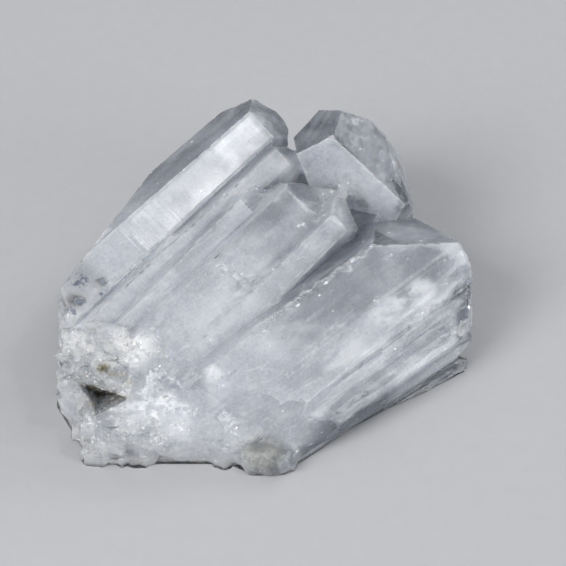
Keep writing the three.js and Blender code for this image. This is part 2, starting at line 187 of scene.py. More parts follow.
# Silky parts with close, straight growth lines.
SILK_SPOTS = [
    ((20.0, -12.0, 7.5), (12.0, 7.5, 4.0), 1.0),
    ((-21.0, -5.0, 16.5), (7.0, 6.0, 3.0), 0.5),
    ((19.0, 14.0, 20.0), (3.0, 5.0, 5.0), 0.6),
    ((-11.5, 15.6, 21.0), (9.0, 9.0, 3.0), 0.5),
]
CHALK_SPOTS = [
    ((-18.7, -17.3, 14.5), (3.0, 2.6, 2.4), 0.9),
    ((-25.5, -15.0, 12.5), (3.0, 2.0, 1.7), 0.8),
    ((-21.9, -17.5, 12.1), (2.4, 1.8, 1.7), 0.95),
    ((-7.3, -20.3, 12.5), (1.3, 1.2, 1.3), 0.5),
    ((-13.8, -22.5, 9.3), (1.4, 1.1, 1.2), 0.7),
    ((-24.5, -24.2, 6.0), (1.5, 1.0, 1.2), 0.4),
]
# Pits painted dark blue: painted shade in these hollows.
VOID_SPOTS = [
    ((-26.4, -7.0, 17.0), (1.3, 0.9, 0.8), 1.0),
    ((-27.4, -11.0, 15.1), (1.3, 0.7, 0.8), 1.0),
    ((-22.9, -7.6, 15.6), (0.6, 0.6, 0.6), 0.9),
    ((13.9, 11.8, 14.4), (0.7, 0.6, 1.0), 0.6),
]
DIRT_SPOTS = [
    ((-22.8, -17.6, 10.4), (0.9, 0.6, 0.8), 1.0),
    ((-20.8, -18.4, 9.9), (1.4, 0.45, 0.4), 0.9),
    ((-19.1, -19.7, 9.8), (0.9, 0.4, 0.4), 0.6),
    ((-25.5, -15.5, 13.5), (0.4, 0.4, 0.4), 0.7),
    ((-0.8, -27.0, 3.0), (3.0, 2.5, 3.0), 0.38),
    ((-24.8, -21.0, 6.8), (0.9, 1.5, 1.2), 0.45),
]
ROUGH_SPOTS = [
    ((-24.5, -17.5, 9.0), (6.6, 5.5, 6.5), 1.0),
    ((-19.0, -24.8, 4.0), (9.0, 3.6, 4.4), 0.9),
    ((-9.0, -25.5, 3.5), (9.0, 4.0, 4.5), 0.55),
    ((-0.5, -27.5, 2.6), (3.6, 2.6, 3.0), 0.5),
    ((-26.2, -8.3, 15.8), (2.4, 3.0, 2.0), 0.5),
    ((-23.0, -6.0, 15.6), (1.2, 1.2, 1.2), 0.4),
    ((-29.5, -14.0, 7.0), (3.0, 9.0, 9.0), 0.9),
]

# Where little chips of quartz lie on the root.
LOOSE_SPOTS = [
    ((-24.0, -17.0, 10.0), (4.5, 3.5, 3.5), 0.7),
    ((-22.9, -18.5, 5.0), (3.0, 3.0, 3.0), 1.0),
    ((-23.0, -23.5, 5.0), (5.0, 2.5, 3.5), 0.7),
    ((-14.0, -24.5, 6.0), (6.0, 2.0, 3.0), 0.3),
]

# Places where growth ended in small rounded lobes with sharp notches between them.
LOBED_SPOTS = [
    ((28.5, -2.5, 8.5), (2.2, 4.5, 6.0), 1.0),
    ((27.0, 4.5, 15.0), (3.0, 3.0, 2.5), 0.6),
    ((18.0, 15.5, 19.0), (2.5, 5.0, 6.0), 0.6),
    ((3.0, 28.0, 19.0), (3.0, 3.0, 4.0), 0.4),
]
# Tips whose edges have grown round.
ROUND_SPOTS = [
    ((26.5, 3.0, 14.5), (4.0, 5.0, 4.0), 1.0),
    ((17.5, 15.0, 20.0), (4.0, 7.0, 7.0), 1.0),
    ((10.5, 15.0, 23.5), (5.5, 5.5, 5.5), 0.8),
    ((1.5, 24.0, 21.0), (2.5, 4.0, 4.0), 0.8),
    ((6.0, 15.5, 18.5), (3.6, 3.6, 3.0), 1.0),
    ((8.0, 8.0, 18.5), (5.0, 4.5, 3.5), 0.9),
    ((27.5, -7.0, 5.0), (3.0, 4.0, 5.0), 0.9),
]

# Where the crystals have run into each other and lost their edges.
MELTED_SPOTS = [
    ((-11.0, -9.0, 16.0), (9.0, 7.0, 5.0), 1.0),
    ((-4.0, -3.0, 18.0), (7.0, 6.0, 4.0), 0.9),
    ((-5.0, -18.5, 12.0), (8.0, 6.0, 5.0), 1.0),
    ((4.0, -21.0, 9.0), (6.0, 5.0, 5.0), 1.0),
    ((-7.0, -25.0, 6.5), (7.0, 3.0, 6.0), 0.9),
    ((17.0, -14.5, 5.5), (12.0, 8.0, 4.5), 1.0),
    ((-13.0, -21.0, 9.5), (5.0, 4.0, 4.0), 1.0),
    ((6.0, -23.5, 3.5), (5.0, 4.0, 4.0), 1.0),
    ((24.0, -9.0, 6.0), (4.0, 4.0, 3.0), 0.7),
    ((-3.0, 4.0, 19.0), (5.0, 5.0, 4.0), 0.5),
]
MELTED_LINES = [((9.0, -22.0, 4.6), (26.0, -9.0, 7.2), 3.2, 1.0)]

# Lines of little chips that glint, with painted white glints along them: from, to, reach and how strong.
GLINT_LINES = [
    ((14.9, -0.8, 17.8), (-0.6, -14.2, 14.6), 0.5, 1.0),
    ((-0.7, 9.0, 19.0), (12.2, 12.0, 17.0), 1.3, 0.9),
    ((8.5, 6.0, 18.8), (3.5, 1.0, 18.0), 0.8, 0.8),
    ((3.0, 8.0, 19.5), (-3.0, 2.0, 18.5), 1.0, 0.6),
    ((28.0, 3.0, 13.0), (29.3, -4.0, 8.0), 2.2, 0.6),
    ((16.0, 3.5, 17.6), (27.0, 2.0, 15.5), 0.8, 0.5),
    ((18.0, -1.0, 15.5), (26.0, -1.0, 13.0), 2.0, 0.5),
    ((-21.9, -24.0, 6.5), (-12.0, -25.5, 6.5), 1.8, 0.6),
    ((12.5, 16.8, 25.0), (18.5, 14.5, 19.5), 3.0, 0.35),
]


def ease(value):
    """A smooth step from 0 to 1."""
    t = np.clip(value, 0.0, 1.0)
    return t * t * (3.0 - 2.0 * t)


def near(points, spots):
    """How strongly each point lies in one of the soft-edged spots, from 0 to 1."""
    total = np.zeros(len(points))
    for place, reach, amount in spots:
        away = np.linalg.norm((points - np.array(place)) / np.array(reach), axis=1)
        total = np.maximum(total, amount * ease(1.45 - away))
    return total


def near_lines(points, lines):
    """How strongly each point lies along one of the lines, from 0 to 1."""
    total = np.zeros(len(points))
    for start, end, reach, amount in lines:
        start, way = np.array(start), np.array(end) - np.array(start)
        share = np.clip((points - start) @ way / (way @ way), 0, 1)
        away = np.linalg.norm(points - start - share[:, None] * way, axis=1) / reach
        here = amount * ease(1.45 - away)
        total = np.where(np.abs(here) > np.abs(total), here, total)
    return total


def within(points, corners, soft):
    """1 inside the hull of some corners, falling to 0 over a soft distance outside it."""
    shape = bmesh.new()
    for corner in corners:
        shape.verts.new(corner)
    bmesh.ops.convex_hull(shape, input=shape.verts)
    middle = np.mean(corners, axis=0)
    away = np.full(len(points), -1e9)
    for facet in shape.faces:
        facet.normal_update()
        at, out = np.array(facet.verts[0].co), np.array(facet.normal)
        out = out if (at - middle) @ out > 0 else -out
        away = np.maximum(away, (points - at) @ out)
    shape.free()
    return ease(1 - away / soft)


def unit(vectors):
    return vectors / np.maximum(np.linalg.norm(vectors, axis=-1, keepdims=True), 1e-12)


# ---- The shape as packed: points, triangles, edges and whole faces ----
def merged(node):
    """The node's mesh as shared points in millimetres and triangles."""
    shape = bmesh.new()
    shape.from_mesh(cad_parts[node].data)
    bmesh.ops.remove_doubles(shape, verts=shape.verts, dist=0.001 * MM)
    points = np.array([v.co for v in shape.verts]) / MM
    triangles = np.array([[v.index for v in f.verts] for f in shape.faces])
    shape.free()
    return points, triangles


def corners_of(points, triangles):
    return (points[triangles[:, k]] for k in range(3))


def face_normals(points, triangles):
    a, b, c = corners_of(points, triangles)
    return unit(np.cross(b - a, c - a))


def face_areas(points, triangles):
    a, b, c = corners_of(points, triangles)
    return np.linalg.norm(np.cross(b - a, c - a), axis=1) / 2


def shared_edges(points, triangles, normals):
    """Each edge between two triangles: its ends, the two, how far they turn, and whether it is a crease."""
    ends = np.sort(np.stack([triangles, np.roll(triangles, -1, axis=1)], axis=2).reshape(-1, 2), axis=1)
    owner = np.repeat(np.arange(len(triangles)), 3)
    across = np.roll(triangles, 1, axis=1).reshape(-1)
    order = np.lexsort((ends[:, 1], ends[:, 0]))
    ends, owner, across = ends[order], owner[order], across[order]
    first = np.flatnonzero((ends[:-1] == ends[1:]).all(axis=1))
    one, two = owner[first], owner[first + 1]
    turn = np.arccos(np.clip((normals[one] * normals[two]).sum(axis=1), -1, 1))
    rise = ((points[across[first + 1]] - points[ends[first, 0]]) * normals[one]).sum(axis=1)
    return ends[first], one, two, turn, rise > 0


def whole_faces(count, one, two, turn):
    """The number of the flat face that each triangle is part of."""
    group = list(range(count))

    def root(k):
        while group[k] != k:
            group[k] = group[group[k]]
            k = group[k]
        return k

    flat = turn < FLAT_TURN
    for a, b in zip(one[flat], two[flat]):
        group[root(a)] = root(b)
    _, number = np.unique([root(k) for k in range(count)], return_inverse=True)
    return number.reshape(-1)


def tree_along(points, ends, spacing=0.2):
    """Finds how far a point is from the nearest of some edges."""
    samples = []
    for a, b in points[ends]:
        steps = max(int(np.linalg.norm(b - a) / spacing), 1)
        samples += [a + (b - a) * k / steps for k in range(steps + 1)]
    tree = KDTree(len(samples))
    for i, place in enumerate(samples):
        tree.insert(place, i)
    tree.balance()
    return tree


def distances(tree, points):
    return np.array([tree.find(p)[2] for p in points])


class Packed:
    """What the fine surface needs to know of the solid as packed."""

    def __init__(self):
        self.points, self.triangles = merged("quartz_cluster")
        self.normals = face_normals(self.points, self.triangles)
        ends, one, two, turn, crease = shared_edges(self.points, self.triangles, self.normals)
        self.face = whole_faces(len(self.triangles), one, two, turn)
        self.area = np.bincount(self.face, face_areas(self.points, self.triangles))[self.face]
        whole = np.maximum(self.area[one], self.area[two]) > WHOLE_FACE
        sharp = turn > SHARP_TURN
        ridge = sharp & ~crease & whole
        under = np.maximum(self.normals[one, 2], self.normals[two, 2]) < UNDER_LEAN
        self.ridges = tree_along(self.points, ends[ridge])
        self.upper_ridges = tree_along(self.points, ends[ridge & ~under])
        self.creases = tree_along(self.points, ends[sharp & crease & whole])

        self.finder = BVHTree.FromPolygons(self.points.tolist(), self.triangles.tolist())

    def face_at(self, place):
        return self.face[self.finder.find_nearest(place)[2]]

    def tones(self):
        """How clear each triangle's whole face is: as listed, or else a little by chance."""
        clearness = np.random.default_rng(FACE_SEED).uniform(0.25, 0.55, self.face.max() + 1)
        for place, clear in FACE_TONES:
            clearness[self.face_at(place)] = clear
        return clearness[self.face]

    def polish(self):
        """Which triangles are on the polished face, and which on other faces that lie like it."""
        at = self.finder.find_nearest(MIRROR_FACE)[2]
        mirror = self.face == self.face[at]
        alike = self.normals @ self.normals[at] > math.cos(MIRROR_TURN)
        return mirror, alike & ~mirror


# ---- The fine surface of the quartz ----
def longest_edge(packed, points):
    """How long a triangle edge may be at each point."""
    ridge = distances(packed.upper_ridges, points)
    step = np.minimum(EDGE_STEP + STEP_GROWTH * ridge, FACE_STEP)
    rough = np.clip(near(points, ROUGH_SPOTS) * 1.6, 0, 1)
    step = np.minimum(step, FACE_STEP + (ROUGH_STEP - FACE_STEP) * rough)
    step = np.where(rough > 0.4, np.maximum(step, ROUGH_STEP * 0.9), step)
    return np.where((points[:, 2] < 0.02) & (ridge > 0.5), FLOOR_STEP, step)


def refined(packed):
    """Halves every edge that is too long for its place, until none is."""
    points, triangles, origin = packed.points, packed.triangles, np.arange(len(packed.triangles))
    for _ in range(12):
        ends = np.sort(np.stack([triangles, np.roll(triangles, -1, axis=1)], axis=2).reshape(-1, 2), axis=1)
        edges, back = np.unique(ends, axis=0, return_inverse=True)
        back = back.reshape(-1, 3)
        middle = (points[edges[:, 0]] + points[edges[:, 1]]) / 2
        length = np.linalg.norm(points[edges[:, 0]] - points[edges[:, 1]], axis=1)
        split = length > EDGE_STEP
        split[split] = length[split] > longest_edge(packed, middle[split])
        if not split.any():
            break
        number = np.full(len(edges), -1)
        number[split] = len(points) + np.arange(split.sum())
        points = np.vstack([points, middle[split]])
        triangles, origin = cut_up(triangles, number[back], origin, points)
    return points, triangles, origin


def cut_up(triangles, mids, origin, points):
    """Cuts each triangle through the middles of its marked edges."""
    count = (mids >= 0).sum(axis=1)
    made, kept = [triangles[count == 0]], [origin[count == 0]]
    turn = np.where(count == 1, np.argmax(mids >= 0, axis=1), (np.argmin(mids, axis=1) + 1) % 3)
    turn = np.where(count == 3, 0, turn)
    order = (turn[:, None] + np.arange(3)) % 3
    corner = np.take_along_axis(triangles, order, axis=1)
    mid = np.take_along_axis(mids, order, axis=1)

    one = count == 1
    a, b, c, m = corner[one, 0], corner[one, 1], corner[one, 2], mid[one, 0]
    made += [np.stack([a, m, c], 1), np.stack([m, b, c], 1)]
    kept += [origin[one]] * 2

    two = count == 2
    a, b, c, m, n = corner[two, 0], corner[two, 1], corner[two, 2], mid[two, 0], mid[two, 1]
    short = np.linalg.norm(points[a] - points[n], axis=1) < np.linalg.norm(points[m] - points[c], axis=1)
    made.append(np.stack([m, b, n], 1))
    made.append(np.where(short[:, None], np.stack([a, m, n], 1), np.stack([a, m, c], 1)))
    made.append(np.where(short[:, None], np.stack([a, n, c], 1), np.stack([m, n, c], 1)))
    kept += [origin[two]] * 3

    three = count == 3
    a, b, c = corner[three].T
    m, n, o = mid[three].T
    made += [np.stack(t, 1) for t in ((a, m, o), (m, b, n), (o, n, c), (m, n, o))]
    kept += [origin[three]] * 4
    return np.vstack(made), np.concatenate(kept)


def to_points(count, triangles, values):
    """Spreads a value on triangles to their corners."""
    total, shares = np.zeros(count), np.zeros(count)
    for k in range(3):
        np.add.at(total, triangles[:, k], values)
        np.add.at(shares, triangles[:, k], 1)
    return total / np.maximum(shares, 1)


def point_normals(points, triangles, normals):
    weight = face_areas(points, triangles)[:, None] * normals
    total = np.zeros_like(points)
    for k in range(3):
        np.add.at(total, triangles[:, k], weight)
    return unit(total)


def settled(points, triangles, share, rounds):
    """Draws each point towards the middle of its neighbours, by its share, to run broken lumps together."""
    ends = np.sort(np.stack([triangles, np.roll(triangles, -1, axis=1)], axis=2).reshape(-1, 2), axis=1)
    ends = np.unique(ends, axis=0)
    ends = np.vstack([ends, ends[:, ::-1]])
    ends = ends[share[ends[:, 0]] > 0.001]
    ends = ends[np.argsort(ends[:, 0], kind="stable")]
    moving, starts, count = np.unique(ends[:, 0], return_index=True, return_counts=True)
    points, share, count = points.copy(), share[moving, None], count[:, None]
    for _ in range(rounds):
        total = np.add.reduceat(points[ends[:, 1]], starts, axis=0)
        points[moving] += (total / count - points[moving]) * share
    return points


def noise_at(points, size, octaves, offset):
    """Soft noise from about -1 to 1, with its largest lumps `size` millimetres across."""
    shift = Vector((offset, offset * 0.7, -offset))
    return np.array([noise.fractal(Vector(p) / size + shift, 1.0, 2.0, octaves) for p in points])


def lobes(points, size, offset):
    """Little domes with notches between them, from 0 on top to about 1."""
    shift = Vector((offset, -offset, offset * 0.3))
    return np.array([noise.voronoi(Vector(p) / size + shift)[0][0] for p in points]) ** 2 * 1.6


def fracture(points, size, offset):
    """Small flat facets, each tilted its own way, from about -1 to 1."""
    shift = Vector((offset, offset * 0.4, -offset))
    heights = []
    for p in points:
        place = Vector(p) / size + shift
        middle = noise.voronoi(place)[1][0]
        lean = noise.cell_vector(middle * 5.0) * 2.0 - Vector((1, 1, 1))
        heights.append(lean.dot(place - middle) + 0.35 * lean.x)
    return np.array(heights)


def quartz_surface():
    """The quartz with worn edges, chipped tips and a granular root, as one closed mesh."""
    packed = Packed()
    points, triangles, origin = refined(packed)
    ridge = distances(packed.ridges, points)
    crease = distances(packed.creases, points)
    melted = near(points, MELTED_SPOTS)
    glint = near_lines(points, GLINT_LINES)
    broken = to_points(len(points), triangles, ease((WHOLE_FACE - packed.area[origin]) / 7.0))
    broken = broken * (1 - np.maximum(melted, 0.6 * glint))
    rough = np.clip(np.maximum(broken * 0.75, near(points, ROUGH_SPOTS)), 0, 1)
    worn = ease(1 - ridge / EDGE_WEAR_REACH) * (1 - rough)
    above_floor = ease(points[:, 2] / FLOOR_REACH)
    points = settled(points, triangles, PULL * rough * above_floor, ROUGH_TURNS)
    rounded = np.maximum(near(points, ROUND_SPOTS), melted) * (1 - 0.8 * rough) * above_floor
    points = settled(points, triangles, PULL * rounded, ROUND_TURNS)
    points = settled(points, triangles, PULL * melted * (1 - 0.8 * rough) * above_floor, MELTED_TURNS)
    points = settled(points, triangles, PULL * near_lines(points, MELTED_LINES) * above_floor, LINE_TURNS)
    points = settled(points, triangles, RIDGE_PULL * near_lines(points, GLINT_LINES[:1]), RIDGE_TURNS)
    outwards = point_normals(points, triangles, face_normals(points, triangles))

    bite = ease((noise_at(points, 0.9, 3, 9.0) + 0.25 * glint - 0.3) * 2.5)
    wander = noise_at(points, 2.4, 4, 3.0)
    facets = fracture(points, 1.5, 4.0)
    small_facets = fracture(points, 0.7, 14.0)
    lobed = near(points, LOBED_SPOTS) * (1 - rough)
    sway = noise_at(points, 6.0, 2, 5.0)
    depth = SWAY_DEPTHS[0] + SWAY_DEPTHS[1] * sway
    depth = depth + worn * (WEAR_DEPTH + (BITE_DEPTH + GLINT_BITE_DEPTH * glint) * bite)
    middle, by_wander, by_facets, by_small = ROUGH_DEPTHS
    depth = depth + rough * (middle + by_wander * wander + by_facets * facets + by_small * small_facets)
    depth = depth + lobed * LOBE_DEPTH * lobes(points, LOBE_SIZE, 6.0)
    middle, swing = RIM_DEPTHS
    depth = depth + rough * (1 - above_floor) * (middle + swing * noise_at(points, 3.5, 2, 8.0))
    depth = np.clip(depth, 0, DEEPEST)
    inwards = -outwards * np.column_stack([np.ones((len(points), 2)), above_floor])
    moved = points + inwards * depth[:, None]
    low, high = (np.array(corner) / MM for corner in cad_box)
    moved = np.clip(moved, low, high)

    mesh = bpy.data.meshes.new("quartz_surface")
    mesh.from_pydata((moved * MM).tolist(), [], triangles.tolist())
    mesh.update()
    mesh.shade_smooth()
    mesh.set_sharp_from_angle(angle=SHADED_TURN)
    add_attributes(mesh, moved, rough, ridge + 0.5 * melted, crease + melted)
    mirror, etched = packed.polish()
    looks = {"face_clear": packed.tones(), "face_mirror": mirror, "face_etched": etched}
    for name, values in looks.items():
        layer = mesh.attributes.new(name, "FLOAT", "FACE")
        layer.data.foreach_set("value", values[origin].astype(np.float32))
    return placed(mesh, "quartz_surface")


def add_attributes(mesh, points, rough, ridge, crease):
    """What the quartz material reads at each point."""
    from_middle = points - FAN_MIDDLE
    along = np.linalg.norm(from_middle, axis=1)
    turn = np.arctan2(from_middle[:, 1], from_middle[:, 0]) * 200.0
    lift = np.arcsin(from_middle[:, 2] / along) * 200.0
    growth = np.column_stack([turn, lift, along]) * MM
    floats = {
        "rough": rough,
        "clear": near(points, CLEAR_SPOTS),
        "haze": near_lines(points, HAZE_LINES),
        "loose": np.maximum(near(points, CHALK_SPOTS) * 0.8, near(points, LOOSE_SPOTS)),
        # painted light and shade, which the material reads as tone
        "tone": near_lines(points, LIGHT_AND_SHADE_LINES),
        "silk": near(points, SILK_SPOTS),
        "chalk": near(points, CHALK_SPOTS),
        "void": near(points, VOID_SPOTS),
        "dirt": np.maximum(near(points, DIRT_SPOTS), within(points, CAVITY, 0.35)),
        "polished": ease((points - MIRROR_END) @ UPPER_LEFT_AXIS / 1.5 + 0.5),
        "glint": near_lines(points, GLINT_LINES),
        "ridge": ease(1 - ridge / 0.4),
        "crease": ease(1 - crease / 0.6),
    }
    for name, values in floats.items():
        layer = mesh.attributes.new(name, "FLOAT", "POINT")
        layer.data.foreach_set("value", values.astype(np.float32))
    layer = mesh.attributes.new("growth", "FLOAT_VECTOR", "POINT")
    layer.data.foreach_set("vector", growth.astype(np.float32).reshape(-1))


def placed(mesh, name):
    piece = bpy.data.objects.new(name, mesh)
    bpy.context.scene.collection.objects.link(piece)
    return piece


# ---- Little chips on the broken root ----
def chip_tree(material):
    """Scatters angular chips, half sunk, over a surface, more where a named point value is high."""
    tree = bpy.data.node_groups.new("chips", "GeometryNodeTree")
    tree.is_modifier = True
    sockets = tree.interface
    sockets.new_socket("Surface", in_out="INPUT", socket_type="NodeSocketGeometry")
    sockets.new_socket("Where", in_out="INPUT", socket_type="NodeSocketString")
    sockets.new_socket("Most per square metre", in_out="INPUT", socket_type="NodeSocketFloat")
    sockets.new_socket("Smallest radius", in_out="INPUT", socket_type="NodeSocketFloat")
    sockets.new_socket("Largest radius", in_out="INPUT", socket_type="NodeSocketFloat")
    sockets.new_socket("Seed", in_out="INPUT", socket_type="NodeSocketInt")
    sockets.new_socket("Chips", in_out="OUTPUT", socket_type="NodeSocketGeometry")

    def node(kind, **settings):
        made = tree.nodes.new(kind)
        for key, value in settings.items():
            setattr(made, key, value)
        return made

    def join(output, socket):
        tree.links.new(output, socket)

    given = node("NodeGroupInput").outputs
    weight = node("GeometryNodeInputNamedAttribute", data_type="FLOAT")
    join(given["Where"], weight.inputs["Name"])
    density = node("ShaderNodeMath", operation="MULTIPLY")
    join(weight.outputs["Attribute"], density.inputs[0])
    join(given["Most per square metre"], density.inputs[1])
    scatter = node("GeometryNodeDistributePointsOnFaces", distribute_method="RANDOM")
    join(given["Surface"], scatter.inputs["Mesh"])
    join(density.outputs["Value"], scatter.inputs["Density"])
    join(given["Seed"], scatter.inputs["Seed"])

    size = node("FunctionNodeRandomValue", data_type="FLOAT")
    join(given["Smallest radius"], size.inputs[2])
    join(given["Largest radius"], size.inputs[3])
    join(given["Seed"], size.inputs["Seed"])
    turn = node("FunctionNodeRandomValue", data_type="FLOAT_VECTOR")
    turn.inputs[1].default_value = (math.tau, math.tau, math.tau)
    join(given["Seed"], turn.inputs["Seed"])
    sink = node("ShaderNodeVectorMath", operation="SCALE")
    join(scatter.outputs["Normal"], sink.inputs[0])
    depth = node("ShaderNodeMath", operation="MULTIPLY")
    join(size.outputs[1], depth.inputs[0])
    depth.inputs[1].default_value = -CHIP_SUNK
    join(depth.outputs["Value"], sink.inputs["Scale"])
    sunk = node("GeometryNodeSetPosition")
    join(scatter.outputs["Points"], sunk.inputs["Geometry"])
    join(sink.outputs["Vector"], sunk.inputs["Offset"])

    ball = node("GeometryNodeMeshIcoSphere")
    ball.inputs["Radius"].default_value = 1.0
    ball.inputs["Subdivisions"].default_value = 1
    chip = node("GeometryNodeTransform")
    join(ball.outputs["Mesh"], chip.inputs["Geometry"])
    chip.inputs["Scale"].default_value = CHIP_SHAPE
    put = node("GeometryNodeInstanceOnPoints")
    join(sunk.outputs["Geometry"], put.inputs["Points"])
    join(chip.outputs["Geometry"], put.inputs["Instance"])
    join(turn.outputs[0], put.inputs["Rotation"])
    join(size.outputs[1], put.inputs["Scale"])
    real = node("GeometryNodeRealizeInstances")
    join(put.outputs["Instances"], real.inputs["Geometry"])
    coat = node("GeometryNodeSetMaterial")
    coat.inputs["Material"].default_value = material
    join(real.outputs["Geometry"], coat.inputs["Geometry"])
    join(coat.outputs["Geometry"], node("NodeGroupOutput").inputs["Chips"])
    return tree


def made_by(tree, host, values, name):
    """Runs a tree on a piece and keeps what it makes as a plain mesh."""
    modifier = host.modifiers.new(name, "NODES")
    modifier.node_group = tree
    for socket in tree.interface.items_tree:
        if socket.name in values:
            modifier[socket.identifier] = values[socket.name]
    graph = bpy.context.evaluated_depsgraph_get()
    mesh = bpy.data.meshes.new_from_object(host.evaluated_get(graph))
    host.modifiers.remove(modifier)
    return placed(mesh, name)


def root_chips(quartz, material):
    """Chips of quartz that lie on the broken root and in its hollow."""
    values = {
        "Where": "loose",
        "Most per square metre": CHIPS_PER_MM2 / MM**2,
        "Smallest radius": CHIP_RADII[0] * MM,
        "Largest radius": CHIP_RADII[1] * MM,
        "Seed": CHIP_SEED,
    }
    chips = made_by(chip_tree(material), quartz, values, "root_chips")
    low, high = (np.array(corner) for corner in cad_box)
    places = np.empty(len(chips.data.vertices) * 3, dtype=np.float32)
    chips.data.vertices.foreach_get("co", places)
    chips.data.vertices.foreach_set("co", np.clip(places.reshape(-1, 3), low, high).reshape(-1))
    chips.data.update()
    return chips


# ---- Materials ----
QUARTZ_INDEX = 1.544
SCATTER_BY_COLOUR = (1.0, 1.05, 1.12)
QUARTZ_SCATTER, CHIP_SCATTER = 0.005, 0.001  # how far light spreads under the surface, in metres
ABSORPTION_COLOUR, ABSORPTION_DENSITY = (0.82, 0.88, 0.95, 1), 20.0

# Colours. Where a kind has more than one, the lightest comes first.
WHITE = (1.0, 1.0, 1.0, 1)
HAZE_WHITE = (0.94, 0.955, 0.975, 1)
VEIL_WHITE = (0.94, 0.95, 0.97, 1)
WORN_AND_HIGHLIT_WHITE = (0.93, 0.94, 0.96, 1)
CHALK_WHITE = (0.93, 0.93, 0.92, 1)
SILK_LIGHT, SILK_DARK = (0.92, 0.93, 0.95, 1), (0.40, 0.43, 0.48, 1)
PALE_QUARTZ = (0.90, 0.92, 0.95, 1)
THREAD_WHITE = (0.90, 0.92, 0.94, 1)
BROKEN_LIGHT, BROKEN_DARK = (0.90, 0.905, 0.915, 1), (0.70, 0.715, 0.74, 1)
MILK_LIGHT, MILK_DARK = (0.75, 0.765, 0.80, 1), (0.64, 0.66, 0.705, 1)
CLEAR_SHADED_GREY = (0.50, 0.53, 0.58, 1)
FLECK_GREY = (0.36, 0.40, 0.46, 1)
PAINTED_SHADE_GREY = (0.14, 0.16, 0.20, 1)
HOLLOW_SHADE_BLUE = (0.07, 0.10, 0.19, 1)
STAIN = (0.74, 0.72, 0.65, 1)
EARTH_PALE, EARTH_LIGHT, EARTH_DARK = (0.62, 0.58, 0.48, 1), (0.42, 0.39, 0.27, 1), (0.17, 0.145, 0.08, 1)
CHIP_LIGHT, CHIP_DARK = (0.95, 0.95, 0.94, 1), (0.80, 0.81, 0.82, 1)
CHIP_EARTH_LIGHT, CHIP_EARTH_DARK = (0.30, 0.28, 0.20, 1), (0.05, 0.045, 0.028, 1)
PAPER_LIGHT, PAPER_DARK = (0.54, 0.54, 0.55, 1), (0.50, 0.50, 0.51, 1)


class Sheet:
    """A small helper that adds nodes to one material and joins them."""

    def __init__(self, name):
        self.material = bpy.data.materials.new(name)
        self.material.use_nodes = True
        self.tree = self.material.node_tree
        self.tree.nodes.clear()

    def node(self, kind, **settings):
        made = self.tree.nodes.new(kind)
        for key, value in settings.items():
            setattr(made, key, value)
        return made

    def put(self, value, socket):
        """Joins an output to a socket, or sets the socket to a plain value."""
        if isinstance(value, bpy.types.NodeSocket):
            self.tree.links.new(value, socket)
        else:
            socket.default_value = value

    def attribute(self, name, output="Fac"):
        return self.node("ShaderNodeAttribute", attribute_name=name).outputs[output]

    def object_place(self):
        return self.node("ShaderNodeTexCoord").outputs["Object"]

    def mapped(self, vector, scale):
        mapping = self.node("ShaderNodeMapping")
        self.put(vector, mapping.inputs["Vector"])
        mapping.inputs["Scale"].default_value = scale
        return mapping.outputs["Vector"]

    def noise(self, vector, scale, detail=3.0, roughness=0.5, distortion=0.0):
        made = self.node("ShaderNodeTexNoise")
        self.put(vector, made.inputs["Vector"])
        made.inputs["Scale"].default_value = scale
        made.inputs["Detail"].default_value = detail
        made.inputs["Roughness"].default_value = roughness
        made.inputs["Distortion"].default_value = distortion
        return made.outputs["Fac"]

    def cells(self, vector, scale):
        """How far each place is from the middle of its cell."""
        made = self.node("ShaderNodeTexVoronoi")
        self.put(vector, made.inputs["Vector"])
        made.inputs["Scale"].default_value = scale
        return made.outputs["Distance"]

    def facets(self, vector, scale):
        """A relief of small flat facets, each tilted its own way, in metres."""
        cell = self.node("ShaderNodeTexVoronoi")
        self.put(vector, cell.inputs["Vector"])
        cell.inputs["Scale"].default_value = scale
        away = self.node("ShaderNodeVectorMath", operation="SUBTRACT")
        self.put(vector, away.inputs[0])
        self.put(cell.outputs["Position"], away.inputs[1])
        lean = self.node("ShaderNodeVectorMath", operation="SUBTRACT")
        self.put(cell.outputs["Color"], lean.inputs[0])
        lean.inputs[1].default_value = (0.5, 0.5, 0.5)
        height = self.node("ShaderNodeVectorMath", operation="DOT_PRODUCT")
        self.put(away.outputs["Vector"], height.inputs[0])
        self.put(lean.outputs["Vector"], height.inputs[1])
        return height.outputs["Value"]

    def veils(self, vector, scale, width, distortion=0.5):
        """Thin wandering lines, where a soft noise passes through its middle value."""
        field = self.noise(vector, scale, 2, 0.55, distortion)
        off = self.math("ABSOLUTE", self.math("SUBTRACT", field, 0.5))
        return self.span(off, width, 0.0)

    def span(self, value, low, high, to_low=0.0, to_high=1.0):
        made = self.node("ShaderNodeMapRange", interpolation_type="SMOOTHSTEP")
        self.put(value, made.inputs["Value"])
        for name, number in (("From Min", low), ("From Max", high), ("To Min", to_low), ("To Max", to_high)):
            self.put(number, made.inputs[name])
        return made.outputs["Result"]

    def math(self, operation, first, second=0.0, clamp=False):
        made = self.node("ShaderNodeMath", operation=operation, use_clamp=clamp)
        self.put(first, made.inputs[0])
        self.put(second, made.inputs[1])
        return made.outputs["Value"]

    def blend(self, share, first, second):
        """Mixes two colours."""
        made = self.node("ShaderNodeMix", data_type="RGBA")
        self.put(share, made.inputs["Factor"])
        self.put(first, made.inputs["A"])
        self.put(second, made.inputs["B"])
        return made.outputs["Result"]

    def bump(self, height, distance, strength, under=None):
        made = self.node("ShaderNodeBump")
        self.put(height, made.inputs["Height"])
        made.inputs["Distance"].default_value = distance
        made.inputs["Strength"].default_value = strength
        if under is not None:
            self.put(under, made.inputs["Normal"])
        return made.outputs["Normal"]


